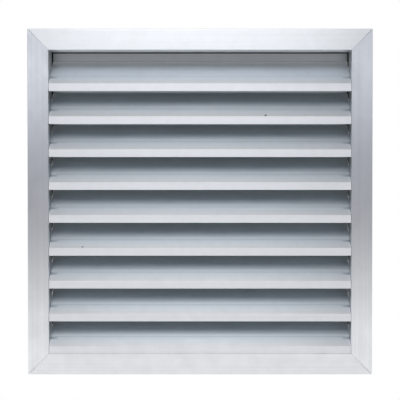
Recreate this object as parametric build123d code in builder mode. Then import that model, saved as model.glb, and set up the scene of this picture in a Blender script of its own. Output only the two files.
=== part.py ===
from build123d import *
import math
import os

# Fixed-blade wall louver: a mitred frame of one aluminium extrusion, closed at its corners by
# flat keys, with a stack of sloping blades screwed between the two stiles.
# Millimetres. The front faces -Y, +X is to the right of someone who faces it, +Z is up.
# The origin is the middle of the louver in the plane where the frame meets the wall.

# Frame
overall_width = 450.0
overall_height = 451.5
flange_width = 27.5
flange_fall = 1.2
frame_wall = 1.6
return_depth = 24.5
outer_edge_radius = 0.6
inner_edge_radius = 0.3
mitre_root_gap = 0.15
mitre_tip_gap = 0.45

# Corner keys and the channel behind the flange that holds them
key_width = 10.0
key_thickness = 2.0
key_arm = 42.0
key_tip_radius = 1.5
key_clearance = 0.15
channel_wall = 1.2
channel_hook = 2.2

# Blades
blade_pitch = 42.94
sill_pitch = 42.2
blade_wall = 1.5
blade_slope = 44.5
nose_height = 9.8
nose_setback = 0.4
nose_return = 4.5
nose_edge_radius = 0.3
web_run = 33.6
lip_height = 10.4
lip_root_radius = 1.0
blade_end_gap = 0.4
sill_gap = 0.15
lip_rise_limit = 3.0

# Screw port under each blade, the sink line over it and the nick at each end, just below that line
port_run = 10.9
port_bore_radius = 1.65
port_wall = 1.4
port_slit = 1.9
sink_width = 3.2
sink_depth = 0.06
nick_width = 1.4
nick_depth = 1.2
nick_length = 9.0
nick_drop = 1.8

# Blade screws
screw_shank_radius = 1.6
screw_length = 14.0
screw_tip_length = 2.5
screw_hole_radius = 2.1
screw_head_radius = 3.6
screw_head_height = 2.4
screw_head_rounding = 1.3
recess_span = 4.0
recess_width = 0.9
recess_depth = 1.2

# Sizes that follow from those above
depth_axis = Vector(0, 1, 0)
plate_back = flange_fall + frame_wall
flange_depth = plate_back + key_thickness + key_clearance + channel_wall
front = -flange_depth
half_width = overall_width / 2
half_height = overall_height / 2
opening_width = overall_width - 2 * flange_width
opening_height = overall_height - 2 * flange_width
channel_room = key_width + 2 * key_clearance
channel_middle = flange_width / 2

slope = math.radians(blade_slope)
web_rise = web_run * math.tan(slope)
web_wall_drop = blade_wall / math.cos(slope)
blade_height = nose_height + web_rise + lip_height
blade_length = opening_width - 2 * blade_end_gap
nose_front = front + nose_setback
lowest_nose = -opening_height / 2 + sill_gap
stack_height = opening_height + lip_rise_limit - sill_gap - blade_height
blade_count = math.floor((stack_height - sill_pitch) / blade_pitch) + 2
second_nose = lowest_nose + sill_pitch
upper_noses = [second_nose + blade_pitch * (blade_count - 2 - row) for row in range(blade_count - 1)]
nose_bottoms = upper_noses + [lowest_nose]

# The port's middle and the line over it, measured back and up from the foot of the nose
sink_line = Vector(port_run, nose_height + port_run * math.tan(slope))
web_normal = Vector(-math.sin(slope), math.cos(slope))
web_along = Vector(math.cos(slope), math.sin(slope))
port_middle = sink_line - web_normal * (blade_wall + port_bore_radius)
nick_line = sink_line - web_along * nick_drop
screw_points = [(nose_front + port_middle.X, bottom + port_middle.Y) for bottom in nose_bottoms]

# Frame extrusion, drawn inward from its outer edge and back from its foremost line. Its front face
# falls back from the opening to the outer edge, and its back is flat.
channel_low = channel_middle - channel_room / 2
channel_high = channel_middle + channel_room / 2
hook_front = flange_depth - channel_wall
frame_outline = [
    (0, flange_fall),
    (flange_width, 0),
    (flange_width, return_depth),
    (flange_width - frame_wall, return_depth),
    (flange_width - frame_wall, plate_back),
    (channel_high + channel_wall, plate_back),
    (channel_high + channel_wall, flange_depth),
    (channel_high - channel_hook, flange_depth),
    (channel_high - channel_hook, hook_front),
    (channel_high, hook_front),
    (channel_high, plate_back),
    (channel_low, plate_back),
    (channel_low, hook_front),
    (channel_low + channel_hook, hook_front),
    (channel_low + channel_hook, flange_depth),
    (channel_low - channel_wall, flange_depth),
    (channel_low - channel_wall, plate_back),
    (frame_wall, plate_back),
    (frame_wall, flange_depth),
    (0, flange_depth),
]
frame_radii = [outer_edge_radius, inner_edge_radius] + [0] * (len(frame_outline) - 2)

# Blade extrusion, drawn back and up from the foot of the nose
web_back = web_run + blade_wall
web_under = nose_height - web_wall_drop
blade_outline = [
    (0, 0),
    (0, nose_height),
    (web_run, nose_height + web_rise),
    (web_run, blade_height),
    (web_back, blade_height),
    (web_back, web_under + web_back * math.tan(slope)),
    (blade_wall, web_under + blade_wall * math.tan(slope)),
    (blade_wall, blade_wall),
    (nose_return, blade_wall),
    (nose_return, 0),
]
blade_radii = [nose_edge_radius, nose_edge_radius, lip_root_radius] + [0] * (len(blade_outline) - 3)


def frame_member(edge_middle, inward, half_span):
    """One side of the frame: the extrusion along an outer edge, mitred at both ends."""
    along = inward.cross(depth_axis)
    with BuildPart() as member:
        with BuildSketch(Plane(origin=edge_middle, x_dir=inward, z_dir=along)):
            with BuildLine():
                FilletPolyline(frame_outline, radius=frame_radii, close=True)
            make_face()
        extrude(amount=half_span, both=True)
        for end in (along, -along):
            mitre_normal = (end + inward).normalized()
            tip = edge_middle + end * half_span
            root = tip + (inward - end) * flange_width
            cut_tip = tip - mitre_normal * (mitre_tip_gap / 2)
            cut_root = root - mitre_normal * (mitre_root_gap / 2)
            cut_line = (cut_tip - cut_root).normalized()
            cut_normal = mitre_normal - cut_line * cut_line.dot(mitre_normal)
            split(bisect_by=Plane(origin=cut_root, z_dir=cut_normal), keep=Keep.BOTTOM)
    return member.part


def corner_key(right, up):
    """Flat L-shaped key that lies in the channels of the two members at one corner."""
    outer_x = half_width - channel_middle + key_width / 2
    outer_z = half_height - channel_middle + key_width / 2
    outline = [
        (outer_x, outer_z),
        (outer_x - key_arm, outer_z),
        (outer_x - key_arm, outer_z - key_width),
        (outer_x - key_width, outer_z - key_width),
        (outer_x - key_width, outer_z - key_arm),
        (outer_x, outer_z - key_arm),
    ]
    radii = [0, key_tip_radius, key_tip_radius, 0, key_tip_radius, key_tip_radius]
    key_front = front + plate_back + key_clearance / 2
    with BuildPart() as key:
        with BuildSketch(Plane.XZ.offset(-key_front)):
            with BuildLine():
                FilletPolyline([(right * x, up * z) for x, z in outline], radius=radii, close=True)
            make_face()
        extrude(amount=-key_thickness)
    return key.part


os.makedirs("parts", exist_ok=True)

# Frame rails
with BuildPart() as frame_top:
    add(frame_member(Vector(0, front, half_height), Vector(0, 0, -1), half_width))
frame_top.part.label = "frame_top"
export_step(frame_top.part, "parts/frame_top.step")

with BuildPart() as frame_bottom:
    add(frame_member(Vector(0, front, -half_height), Vector(0, 0, 1), half_width))
frame_bottom.part.label = "frame_bottom"
export_step(frame_bottom.part, "parts/frame_bottom.step")

# Frame stiles, drilled through the return for the blade screws
with BuildPart() as frame_left:
    add(frame_member(Vector(-half_width, front, 0), Vector(1, 0, 0), half_height))
    with BuildSketch(Plane.YZ.offset(-opening_width / 2)):
        with Locations(*screw_points):
            Circle(screw_hole_radius)
    extrude(amount=-2 * frame_wall, mode=Mode.SUBTRACT)
frame_left.part.label = "frame_left"
export_step(frame_left.part, "parts/frame_left.step")

with BuildPart() as frame_right:
    add(frame_member(Vector(half_width, front, 0), Vector(-1, 0, 0), half_height))
    with BuildSketch(Plane.YZ.offset(opening_width / 2)):
        with Locations(*screw_points):
            Circle(screw_hole_radius)
    extrude(amount=2 * frame_wall, mode=Mode.SUBTRACT)
frame_right.part.label = "frame_right"
export_step(frame_right.part, "parts/frame_right.step")

# Corner keys
key_corners = {
    "corner_key_top_left": (-1, 1),
    "corner_key_top_right": (1, 1),
    "corner_key_bottom_left": (-1, -1),
    "corner_key_bottom_right": (1, -1),
}
for key_name, (right, up) in key_corners.items():
    with BuildPart() as key:
        add(corner_key(right, up))
    key.part.label = key_name
    export_step(key.part, f"parts/{key_name}.step")

# One blade: nose, sloping web, rear lip and the screw port under the web, with its foot at Z 0
foot = Vector(0, nose_front, 0)
with BuildPart() as blade:
    with BuildSketch(Plane(origin=foot, x_dir=depth_axis, z_dir=(1, 0, 0))):
        with BuildLine():
            FilletPolyline(blade_outline, radius=blade_radii, close=True)
        make_face()
        with Locations(port_middle):
            Circle(port_bore_radius + port_wall)
            Circle(port_bore_radius, mode=Mode.SUBTRACT)
        slit_middle = port_middle - web_normal * (port_bore_radius + port_wall / 2)
        with Locations(Location(slit_middle, blade_slope)):
            Rectangle(port_slit, 2 * port_wall, mode=Mode.SUBTRACT)
        sink_radius = (sink_width**2 / 4 + sink_depth**2) / (2 * sink_depth)
        with Locations(sink_line + web_normal * (sink_radius - sink_depth)):
            Circle(sink_radius, mode=Mode.SUBTRACT)
    extrude(amount=blade_length / 2, both=True)
    for end in (-1, 1):
        nick_place = foot + Vector(end * blade_length / 2, nick_line.X, nick_line.Y)
        nick_side = Plane(origin=nick_place, x_dir=(-end, 0, 0), z_dir=(0, web_along.X, web_along.Y))
        with BuildSketch(nick_side):
            with BuildLine():
                Polyline(
                    (0, -end * nick_depth),
                    (nick_length, 0),
                    (nick_length, end * nick_depth),
                    (0, end * nick_depth),
                    close=True,
                )
            make_face()
        extrude(amount=nick_width / 2, both=True, mode=Mode.SUBTRACT)

# Blades, numbered from the top
for row, nose_bottom in enumerate(nose_bottoms, start=1):
    with BuildPart() as slat:
        with Locations((0, 0, nose_bottom)):
            add(blade.part)
    slat.part.label = f"blade_{row}"
    export_step(slat.part, f"parts/blade_{row}.step")

# One pan-head screw, with the underside of its head at the origin and its shank along +X
with BuildPart() as screw:
    with BuildSketch(Plane.XY):
        with BuildLine():
            FilletPolyline(
                (-screw_head_height, 0),
                (-screw_head_height, screw_head_radius),
                (0, screw_head_radius),
                (0, screw_shank_radius),
                (screw_length - screw_tip_length, screw_shank_radius),
                (screw_length, 0),
                radius=[0, screw_head_rounding, 0, 0, 0, 0],
                close=True,
            )
        make_face()
    revolve(axis=Axis.X)
    with Locations((-screw_head_height, 0, 0)):
        Box(2 * recess_depth, recess_span, recess_width, mode=Mode.SUBTRACT)
        Box(2 * recess_depth, recess_width, recess_span, mode=Mode.SUBTRACT)

# Blade screws, driven through each stile's return into the ports
screw_seat = opening_width / 2 + frame_wall
with BuildPart() as blade_screws_left:
    with Locations(*[Location((-screw_seat, y, z)) for y, z in screw_points]):
        add(screw.part)
blade_screws_left.part.label = "blade_screws_left"
export_step(blade_screws_left.part, "parts/blade_screws_left.step")

with BuildPart() as blade_screws_right:
    with Locations(*[Location((screw_seat, y, z), (0, 180, 0)) for y, z in screw_points]):
        add(screw.part)
blade_screws_right.part.label = "blade_screws_right"
export_step(blade_screws_right.part, "parts/blade_screws_right.step")
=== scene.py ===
import bpy
import math
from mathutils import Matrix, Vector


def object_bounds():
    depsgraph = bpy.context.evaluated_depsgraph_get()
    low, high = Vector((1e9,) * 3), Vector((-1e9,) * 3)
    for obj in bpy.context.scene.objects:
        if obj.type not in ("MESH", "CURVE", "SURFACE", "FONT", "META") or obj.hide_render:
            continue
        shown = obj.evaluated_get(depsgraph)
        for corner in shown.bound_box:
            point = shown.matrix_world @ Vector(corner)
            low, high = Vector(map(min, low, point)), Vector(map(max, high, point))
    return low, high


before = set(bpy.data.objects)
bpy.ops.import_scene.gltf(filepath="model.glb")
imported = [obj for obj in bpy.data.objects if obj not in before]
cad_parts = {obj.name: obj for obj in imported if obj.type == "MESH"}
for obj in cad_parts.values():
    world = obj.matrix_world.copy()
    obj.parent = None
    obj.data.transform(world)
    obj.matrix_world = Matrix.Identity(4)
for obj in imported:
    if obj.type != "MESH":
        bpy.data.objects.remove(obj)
cad_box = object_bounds()

# Frame rails and stiles
# Four lengths of one mill-finish aluminium extrusion, sawn to a mitre and keyed together at the corners.
# The die leaves fine lines along each length, so the rails carry them level and the stiles upright.
# The inner walls of the stiles carry painted shade, darker deeper into the recess.


def lined_metal(name, grain, colour, roughness, anisotropic, banding, shade_patches=(), specks=(), painted_cool_tint_stops=()):
    """Bare metal with drawn lines along one axis, and with films of painted shade, specks and a painted cool
    tint where given.
    """
    material = bpy.data.materials.new(name)
    material.use_nodes = True
    nodes = material.node_tree.nodes
    links = material.node_tree.links
    metal = nodes["Principled BSDF"]
    metal.inputs["Metallic"].default_value = 1.0
    metal.inputs["Anisotropic"].default_value = anisotropic
    quarter_turn = 0.25
    metal.inputs["Anisotropic Rotation"].default_value = quarter_turn

    place = nodes.new("ShaderNodeTexCoord")
    along = nodes.new("ShaderNodeCombineXYZ")
    for socket, share in zip(along.inputs, grain):
        socket.default_value = share
    links.new(along.outputs["Vector"], metal.inputs["Tangent"])

    def cloud(scales, detail, seed):
        stretch = nodes.new("ShaderNodeMapping")
        stretch.inputs["Scale"].default_value = scales
        stretch.inputs["Location"].default_value = (seed, seed, seed)
        links.new(place.outputs["Object"], stretch.inputs["Vector"])
        noise = nodes.new("ShaderNodeTexNoise")
        noise.inputs["Scale"].default_value = 1.0
        noise.inputs["Detail"].default_value = detail
        noise.inputs["Roughness"].default_value = 0.6
        links.new(stretch.outputs["Vector"], noise.inputs["Vector"])
        return noise.outputs["Fac"]

    def streaks(along_scale, across_scale, detail, seed):
        return cloud([along_scale if share else across_scale for share in grain], detail, seed)

    def spread(value, low, high, to_low, to_high):
        reach = nodes.new("ShaderNodeMapRange")
        ends = {"From Min": low, "From Max": high, "To Min": to_low, "To Max": to_high}
        for socket, number in ends.items():
            reach.inputs[socket].default_value = number
        links.new(value, reach.inputs["Value"])
        return reach.outputs["Result"]

    def sum_up(operation, first, second):
        maths = nodes.new("ShaderNodeMath")
        maths.operation = operation
        for socket, value in zip(maths.inputs, (first, second)):
            if isinstance(value, float):
                socket.default_value = value
            else:
                links.new(value, socket)
        return maths.outputs["Value"]

    bands = streaks(1.4, 190.0, 2.0, 0.0)
    broad_lines = streaks(2.2, 420.0, 3.0, 3.0)
    thin_lines = streaks(5.0, 1900.0, 3.0, 0.0)
    smudges = cloud((52.0, 52.0, 52.0), 4.0, 7.0)

    level = spread(bands, 0.3, 0.7, 1.0 - banding, 1.0 + banding)
    level = sum_up("MULTIPLY", level, spread(broad_lines, 0.3, 0.7, 0.975, 1.02))
    level = sum_up("MULTIPLY", level, spread(smudges, 0.3, 0.7, 0.97, 1.03))
    split = nodes.new("ShaderNodeSeparateXYZ")
    links.new(place.outputs["Object"], split.inputs["Vector"])
    depth = split.outputs["Y"]
    # Painted shade: each of these films darkens the colour by its share, from a start depth to a full depth
    # and up to an end depth, within a band across the width.
    for shade_patch in shade_patches:
        off_middle = sum_up("ABSOLUTE", split.outputs["X"], 0.0)
        painted_shade = spread(depth, shade_patch["starts"], shade_patch["full"], 0.0, shade_patch["share"])
        within = spread(off_middle, shade_patch["clear_x"], shade_patch["shaded_x"], 0.0, 1.0)
        before = sum_up("LESS_THAN", depth, shade_patch["ends"])
        painted_shade = sum_up("MULTIPLY", painted_shade, sum_up("MULTIPLY", within, before))
        level = sum_up("MULTIPLY", level, sum_up("SUBTRACT", 1.0, painted_shade))
    for speck in specks:
        gap = nodes.new("ShaderNodeVectorMath")
        gap.operation = "DISTANCE"
        gap.inputs[1].default_value = speck["spot"]
        links.new(place.outputs["Object"], gap.inputs[0])
        radius = speck["radius"]
        shade = spread(gap.outputs["Value"], radius * 0.6, radius, 1.0 - speck["dark"], 1.0)
        level = sum_up("MULTIPLY", level, shade)

    tone = nodes.new("ShaderNodeVectorMath")
    tone.operation = "SCALE"
    links.new(level, tone.inputs["Scale"])
    # Painted reflection: a ramp over depth gives the colour a cool tint where given, in place of cool light
    # reflected by the metal.
    painted_cool_tint = nodes.new("ShaderNodeValToRGB")
    for stop in painted_cool_tint.color_ramp.elements:
        stop.color = (*colour, 1.0)
    painted_cool_tint_reach = 0.05
    for stop_depth, stop_colour in painted_cool_tint_stops:
        stop = painted_cool_tint.color_ramp.elements.new(stop_depth / (2 * painted_cool_tint_reach) + 0.5)
        stop.color = (*stop_colour, 1.0)
    links.new(spread(depth, -painted_cool_tint_reach, painted_cool_tint_reach, 0.0, 1.0), painted_cool_tint.inputs["Fac"])
    links.new(painted_cool_tint.outputs["Color"], tone.inputs[0])
    links.new(tone.outputs["Vector"], metal.inputs["Base Color"])

    lined = spread(thin_lines, 0.25, 0.75, roughness - 0.05, roughness + 0.05)
    smeared = spread(smudges, 0.3, 0.7, 0.03, -0.03)
    links.new(sum_up("ADD", lined, smeared), metal.inputs["Roughness"])

    relief = nodes.new("ShaderNodeBump")
    relief.inputs["Strength"].default_value = 0.25
    relief.inputs["Distance"].default_value = 0.00004
    links.new(thin_lines, relief.inputs["Height"])
    links.new(relief.outputs["Normal"], metal.inputs["Normal"])
    return material


def finish_node(node, material):
    """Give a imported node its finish, in every material slot of its object."""
    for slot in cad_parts[node].material_slots:
        slot.material = material


level_grain = (1, 0, 0)
upright_grain = (0, 0, 1)
frame_look = {"colour": (0.81, 0.817, 0.828), "roughness": 0.36, "anisotropic": 0.75}
# Painted shade: darkens the inner walls of the stiles by up to half, deeper into the recess.
stile_wall_painted_shade = {
    "clear_x": 0.1984, "shaded_x": 0.1982, "starts": -0.004, "full": 0.006, "ends": 1.0, "share": 0.50,
}
rail_finish = lined_metal("rail_aluminium", level_grain, **frame_look, banding=0.012)
stile_finish = lined_metal("stile_aluminium", upright_grain, **frame_look, banding=0.05, shade_patches=[stile_wall_painted_shade])
for rail in ("frame_top", "frame_bottom"):
    finish_node(rail, rail_finish)
for stile in ("frame_left", "frame_right"):
    finish_node(stile, stile_finish)

# Corner keys
# Flat L-shaped keys that hold the mitres together, stamped from zinc-plated steel sheet.
# They are pushed into the channels behind the flange, two channels to a key.
key_look = {"colour": (0.62, 0.63, 0.64), "roughness": 0.42, "anisotropic": 0.2, "banding": 0.03}
key_finish = lined_metal("zinc_plated_key", level_grain, **key_look)
for up in ("top", "bottom"):
    for side in ("left", "right"):
        finish_node(f"corner_key_{up}_{side}", key_finish)

# Blades
# Nine lengths of a second mill-finish extrusion, each with a flat nose, a sloping web and a rear lip.
# The lip carries painted shade with some dust, the sink line and the end nicks carry painted shade, and there
# are specks of dirt.
# A faint bluish tint on the middle of the web is a painted reflection of cool light.
blade_colour = (0.785, 0.796, 0.813)
# Painted reflection: a bluish tint on the middle of the webs, in place of the cool light they reflect.
painted_cool_tint_colour = (0.742, 0.792, 0.852)
web_painted_cool_tint = ((-0.0055, blade_colour), (0.003, painted_cool_tint_colour), (0.013, painted_cool_tint_colour), (0.022, blade_colour))
# Painted shade with some dust: darkens the front of the rear lip by up to 40 percent.
lip_shade_and_dust = {
    "clear_x": -1.0, "shaded_x": 0.0, "starts": 0.0266, "full": 0.0277, "ends": 0.0286, "share": 0.40,
}
# Painted shade: a faint dark line along the sink line of the web.
sink_shade = {
    "clear_x": -1.0, "shaded_x": 0.0, "starts": 0.0041, "full": 0.0047, "ends": 0.0058, "share": 0.10,
}
# Painted shade: darkens the nicks near both ends of each blade by up to half.
nick_shade = {
    "clear_x": 0.1855, "shaded_x": 0.197, "starts": 0.0010, "full": 0.0026, "ends": 0.0042, "share": 0.50,
}
dirt = (
    {"spot": (0.0856, -0.0043, 0.1131), "radius": 0.0019, "dark": 0.8},
    {"spot": (-0.1535, -0.0039, -0.0588), "radius": 0.0015, "dark": 0.7},
    {"spot": (-0.1922, 0.0068, -0.0050), "radius": 0.0012, "dark": 0.6},
)
blade_finish = lined_metal(
    "blade_aluminium", level_grain, blade_colour, roughness=0.44, anisotropic=0.75, banding=0.015,
    shade_patches=(lip_shade_and_dust, sink_shade, nick_shade), specks=dirt, painted_cool_tint_stops=web_painted_cool_tint,
)
blade_count = 9
for row in range(1, blade_count + 1):
    finish_node(f"blade_{row}", blade_finish)

# Blade screws
# Pan-head screws of zinc-plated steel, nine on each side.
# They are driven through the returns of the stiles into the ports of the blades.
screw_look = {"colour": (0.66, 0.67, 0.69), "roughness": 0.34, "anisotropic": 0.0, "banding": 0.03}
screw_finish = lined_metal("zinc_plated_screw", level_grain, **screw_look)
for side in ("left", "right"):
    finish_node(f"blade_screws_{side}", screw_finish)

# Floor
# A pale studio floor well below the louver, white to the camera.
# The metal mirrors it as a white floor once, and as a dim one in a second reflection.


def seen_directly(nodes, links, path):
    """1 for a ray that comes from the camera or off a glossy surface, else 0."""
    direct = nodes.new("ShaderNodeMath")
    direct.operation = "MAXIMUM"
    links.new(path.outputs["Is Camera Ray"], direct.inputs[0])
    links.new(path.outputs["Is Glossy Ray"], direct.inputs[1])
    return direct.outputs["Value"]


def deeper_than(nodes, links, path, depth):
    """1 for a ray that has met more surfaces than the given depth, else 0."""
    deep = nodes.new("ShaderNodeMath")
    deep.operation = "GREATER_THAN"
    deep.inputs[1].default_value = depth
    links.new(path.outputs["Ray Depth"], deep.inputs[0])
    return deep.outputs["Value"]


def mix_tones(nodes, links, share, first, second, blend="MIX"):
    """Mix two tones by a share, where each of the three is a fixed value or a socket."""
    mix = nodes.new("ShaderNodeMix")
    mix.data_type = "RGBA"
    mix.blend_type = blend
    for name, value in (("Factor", share), ("A", first), ("B", second)):
        if isinstance(value, bpy.types.NodeSocket):
            links.new(value, mix.inputs[name])
        else:
            mix.inputs[name].default_value = value
    return mix.outputs["Result"]


def pick_shader(nodes, links, share, first, second):
    """Send one shader or the other to the material's output."""
    pick = nodes.new("ShaderNodeMixShader")
    for socket, value in zip(pick.inputs, (share, first, second)):
        links.new(value, socket)
    links.new(pick.outputs["Shader"], nodes["Material Output"].inputs["Surface"])


floor_width = 8.0
floor_level = -0.60
first_reflection = 1.5
white = (1.0, 1.0, 1.0, 1.0)
near_glow = (1.068, 1.07, 1.085, 1.0)
deep_glow = (0.115, 0.17, 0.175, 1.0)
bpy.ops.object.select_all(action="DESELECT")
bpy.ops.mesh.primitive_plane_add(size=floor_width, location=(0.0, 0.0, floor_level))
floor = bpy.context.object
floor.name = "floor"
floor_paint = bpy.data.materials.new("pale_floor")
floor_paint.cycles.emission_sampling = "NONE"
floor_paint.use_nodes = True
nodes = floor_paint.node_tree.nodes
links = floor_paint.node_tree.links
matt = nodes["Principled BSDF"]
matt.inputs["Base Color"].default_value = (0.85, 0.85, 0.85, 1.0)
matt.inputs["Roughness"].default_value = 0.9
path = nodes.new("ShaderNodeLightPath")
glow = mix_tones(nodes, links, deeper_than(nodes, links, path, first_reflection), near_glow, deep_glow)
shine = nodes.new("ShaderNodeEmission")
links.new(mix_tones(nodes, links, path.outputs["Is Camera Ray"], glow, white), shine.inputs["Color"])
direct = seen_directly(nodes, links, path)
pick_shader(nodes, links, direct, matt.outputs["BSDF"], shine.outputs["Emission"])
floor.data.materials.append(floor_paint)

# Dark cards behind the gaps
# Thin black cards are painted shade: they put black where the gaps show only shade behind the louver.
# One ring lies behind the flange and its mitres, and strips lie past the blade ends and over the top lip.
# They are black from the front, to the camera and in a reflection, and clear from behind.
# Painted shade: black to camera and glossy rays that meet a card from the front, clear otherwise.
shade_card_material = bpy.data.materials.new("painted_shade_card")
shade_card_material.cycles.emission_sampling = "NONE"
shade_card_material.use_nodes = True
nodes = shade_card_material.node_tree.nodes
links = shade_card_material.node_tree.links
nodes.remove(nodes["Principled BSDF"])
path = nodes.new("ShaderNodeLightPath")
facing = nodes.new("ShaderNodeNewGeometry")
from_front = nodes.new("ShaderNodeMath")
from_front.operation = "GREATER_THAN"
links.new(seen_directly(nodes, links, path), from_front.inputs[0])
links.new(facing.outputs["Backfacing"], from_front.inputs[1])
clear = nodes.new("ShaderNodeBsdfTransparent")
black = nodes.new("ShaderNodeEmission")
black.inputs["Color"].default_value = (0.004, 0.005, 0.006, 1.0)
pick_shader(nodes, links, from_front.outputs["Value"], clear.outputs["BSDF"], black.outputs["Emission"])

shade_ring_card_width = 0.4494
shade_ring_card_band = 0.0252
shade_ring_card_depth = 0.0003
upright = (math.pi / 2, 0.0, 0.0)
bpy.ops.object.select_all(action="DESELECT")
bpy.ops.mesh.primitive_plane_add(size=shade_ring_card_width, location=(0.0, shade_ring_card_depth, 0.0), rotation=upright)
shade_ring_card = bpy.context.object
shade_ring_card.name = "shade_ring_card"
shade_ring_card.visible_glossy = False
bpy.ops.object.mode_set(mode="EDIT")
bpy.ops.mesh.select_all(action="SELECT")
bpy.ops.mesh.inset(thickness=shade_ring_card_band)
bpy.ops.mesh.delete(type="FACE")
bpy.ops.object.mode_set(mode="OBJECT")
shade_ring_card.data.materials.append(shade_card_material)

card_pitch = 0.04285
# Painted shade: strips past the blade ends and over the top lip, which also paint a dark edge behind each
# blade end.
for name, lean, width, height, (off_middle, depth, level), count in (
    ("web_end_cards", math.radians(44.5), 0.00328, 0.0132, (0.19876, 0.0232, -0.15985), blade_count),
    ("lip_end_cards", math.radians(90.0), 0.00328, 0.0104, (0.19876, 0.0279, -0.1501), blade_count),
    ("top_card", math.radians(90.0), 0.2, 0.0019, (0.1, 0.0279, 0.19885), 1),
):
    bpy.ops.object.select_all(action="DESELECT")
    bpy.ops.mesh.primitive_plane_add(size=height, location=(0.0, depth, level), rotation=(lean, 0.0, 0.0))
    card = bpy.context.object
    card.name = name
    bpy.ops.object.mode_set(mode="EDIT")
    bpy.ops.mesh.select_all(action="SELECT")
    bpy.ops.transform.resize(value=(width / height, 1.0, 1.0))
    bpy.ops.transform.translate(value=(off_middle, 0.0, 0.0))
    bpy.ops.object.mode_set(mode="OBJECT")
    stack = card.modifiers.new("stack", "ARRAY")
    stack.count = count
    stack.use_relative_offset = False
    stack.use_constant_offset = True
    stack.constant_offset_displace = (0.0, card_pitch * math.sin(lean), card_pitch * math.cos(lean))
    card.modifiers.new("other_side", "MIRROR")
    card.data.materials.append(shade_card_material)

# Surround
# A white studio to the camera, and to the metal a sky that pales and darkens with its height.
# Behind the louver it is warm and low.
# A second reflection meets two even tones, a pale one in front and a dark one behind.
world = bpy.data.worlds.new("studio")
bpy.context.scene.world = world
world.cycles.sampling_method = "NONE"
world.use_nodes = True
nodes = world.node_tree.nodes
links = world.node_tree.links
sky = nodes["Background"]
place = nodes.new("ShaderNodeTexCoord")
split = nodes.new("ShaderNodeSeparateXYZ")
links.new(place.outputs["Generated"], split.inputs["Vector"])


def levels_along(axis, stops):
    """Colour ramp over one axis of the direction, from -1 to 1, through the given levels."""
    spread = nodes.new("ShaderNodeMapRange")
    spread.inputs["From Min"].default_value = -1.0
    spread.inputs["From Max"].default_value = 1.0
    links.new(split.outputs[axis], spread.inputs["Value"])
    ramp = nodes.new("ShaderNodeValToRGB")
    links.new(spread.outputs["Result"], ramp.inputs["Fac"])
    elements = ramp.color_ramp.elements
    for element, (share, colour) in zip(elements, (stops[0], stops[-1])):
        element.position = (share + 1) / 2
        element.color = (*colour, 1)
    for share, colour in stops[1:-1]:
        elements.new((share + 1) / 2).color = (*colour, 1)
    return ramp.outputs["Color"]


def warm(level):
    return (level, level * 0.995, level * 0.985)


def cool(level):
    return (level, level * 1.01, level * 1.03)


def blue(level):
    return (level, level * 1.06, level * 1.23)


def grey(level):
    return (level, level, level)


def at(elevation):
    return math.sin(math.radians(elevation))


height_levels = levels_along("Z", [
    (-1.0, warm(0.85)), (at(-12), warm(0.85)), (at(-9), warm(0.40)), (at(-6), blue(0.10)),
    (at(-3), blue(0.12)), (at(1), blue(0.32)), (at(5), blue(0.50)), (at(9), blue(0.52)),
    (at(13), blue(0.44)), (at(18), cool(0.44)), (at(28), cool(0.56)), (at(40), cool(0.22)),
    (at(60), cool(0.35)), (1.0, cool(0.4)),
])
breadth_levels = levels_along("X", [
    (-1.0, grey(0.8)), (-0.25, grey(0.82)), (-0.12, grey(0.96)), (0.03, grey(1.0)),
    (0.12, grey(0.92)), (0.25, grey(0.82)), (1.0, grey(0.8)),
])
rear_levels = levels_along("Z", [
    (-1.0, warm(0.7)), (at(25), warm(0.7)), (at(45), cool(0.06)), (1.0, cool(0.06)),
])
ahead_deep = (0.80, 0.84, 0.90, 1.0)
rear_deep = (0.012, 0.036, 0.046, 1.0)
first_sky_reflection = 2.5
path = nodes.new("ShaderNodeLightPath")
deep = deeper_than(nodes, links, path, first_sky_reflection)
ahead = mix_tones(nodes, links, 1.0, height_levels, breadth_levels, "MULTIPLY")
ahead = mix_tones(nodes, links, deep, ahead, ahead_deep)
rear = mix_tones(nodes, links, deep, rear_levels, rear_deep)
behind = nodes.new("ShaderNodeMapRange")
behind.inputs["From Min"].default_value = -0.18
behind.inputs["From Max"].default_value = 0.04
links.new(split.outputs["Y"], behind.inputs["Value"])
around = mix_tones(nodes, links, behind.outputs["Result"], ahead, rear)
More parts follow.
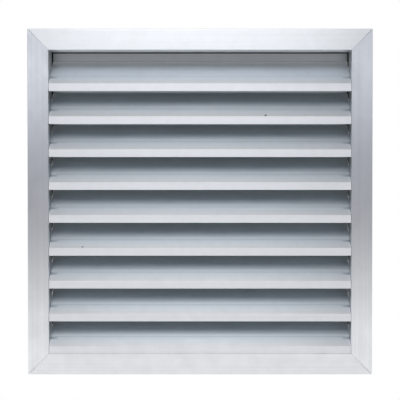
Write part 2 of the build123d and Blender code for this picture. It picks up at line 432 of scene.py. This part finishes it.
links.new(mix_tones(nodes, links, path.outputs["Is Camera Ray"], around, white), sky.inputs["Color"])

# Lamps
# Three wide softboxes one above the other in front, and a strip to each side for the tops of the stiles.
# Each stands on a ball around the louver and faces its middle.
lamp_reach = 2.1
for name, elevation, azimuth, width, drop, energy, tint in (
    ("top_softbox", 68.0, -2.3, 1.2, 0.5, 0.9, (1.0, 0.99, 0.98)),
    ("softbox", 46.5, -2.3, 1.22, 0.85, 9.8, (0.99, 0.985, 0.975)),
    ("low_softbox", 33.0, -2.3, 1.22, 0.45, 2.4, (0.86, 0.965, 1.05)),
    ("left_strip", 11.5, -33.0, 0.7, 0.3, 1.5, (0.97, 0.985, 1.01)),
    ("right_strip", 11.5, 33.0, 0.7, 0.3, 1.1, (0.97, 0.985, 1.01)),
):
    up = math.radians(elevation)
    round_by = math.radians(azimuth)
    out = lamp_reach * math.cos(up)
    stand = (out * math.sin(round_by), -out * math.cos(round_by), lamp_reach * math.sin(up))
    bpy.ops.object.light_add(type="AREA", location=stand)
    lamp = bpy.context.object
    lamp.name = name
    lamp.data.shape = "RECTANGLE"
    lamp.data.size = width
    lamp.data.size_y = drop
    lamp.data.energy = energy
    lamp.data.color = tint
    lamp.rotation_euler = (math.pi / 2 - up, 0.0, round_by)

# Camera
# Stands a little over a metre in front, just above the middle and turned a hair downwards.
# Its shift brings the louver to its place in the picture.
picture = 400
louver_width = 0.450
louver_pixels = 345.4
pixel = louver_width / louver_pixels
picture_width = picture * pixel
sensor_width = 36.0
distance = 1.09
front = cad_box[0][1]
rise = 0.040
tilt = math.radians(0.69)
tilt_framing = 0.0158
aside = 0.009
view = bpy.data.cameras.new("camera")
view.lens = sensor_width * distance / picture_width
view.shift_x = -aside / picture_width
view.shift_y = -(rise - tilt_framing) / picture_width
camera = bpy.data.objects.new("camera", view)
camera.location = (aside, front - distance, rise)
camera.rotation_euler = (math.pi / 2 - tilt, 0.0, 0.0)
bpy.context.collection.objects.link(camera)
bpy.context.scene.camera = camera
bpy.context.scene.view_settings.view_transform = "Standard"
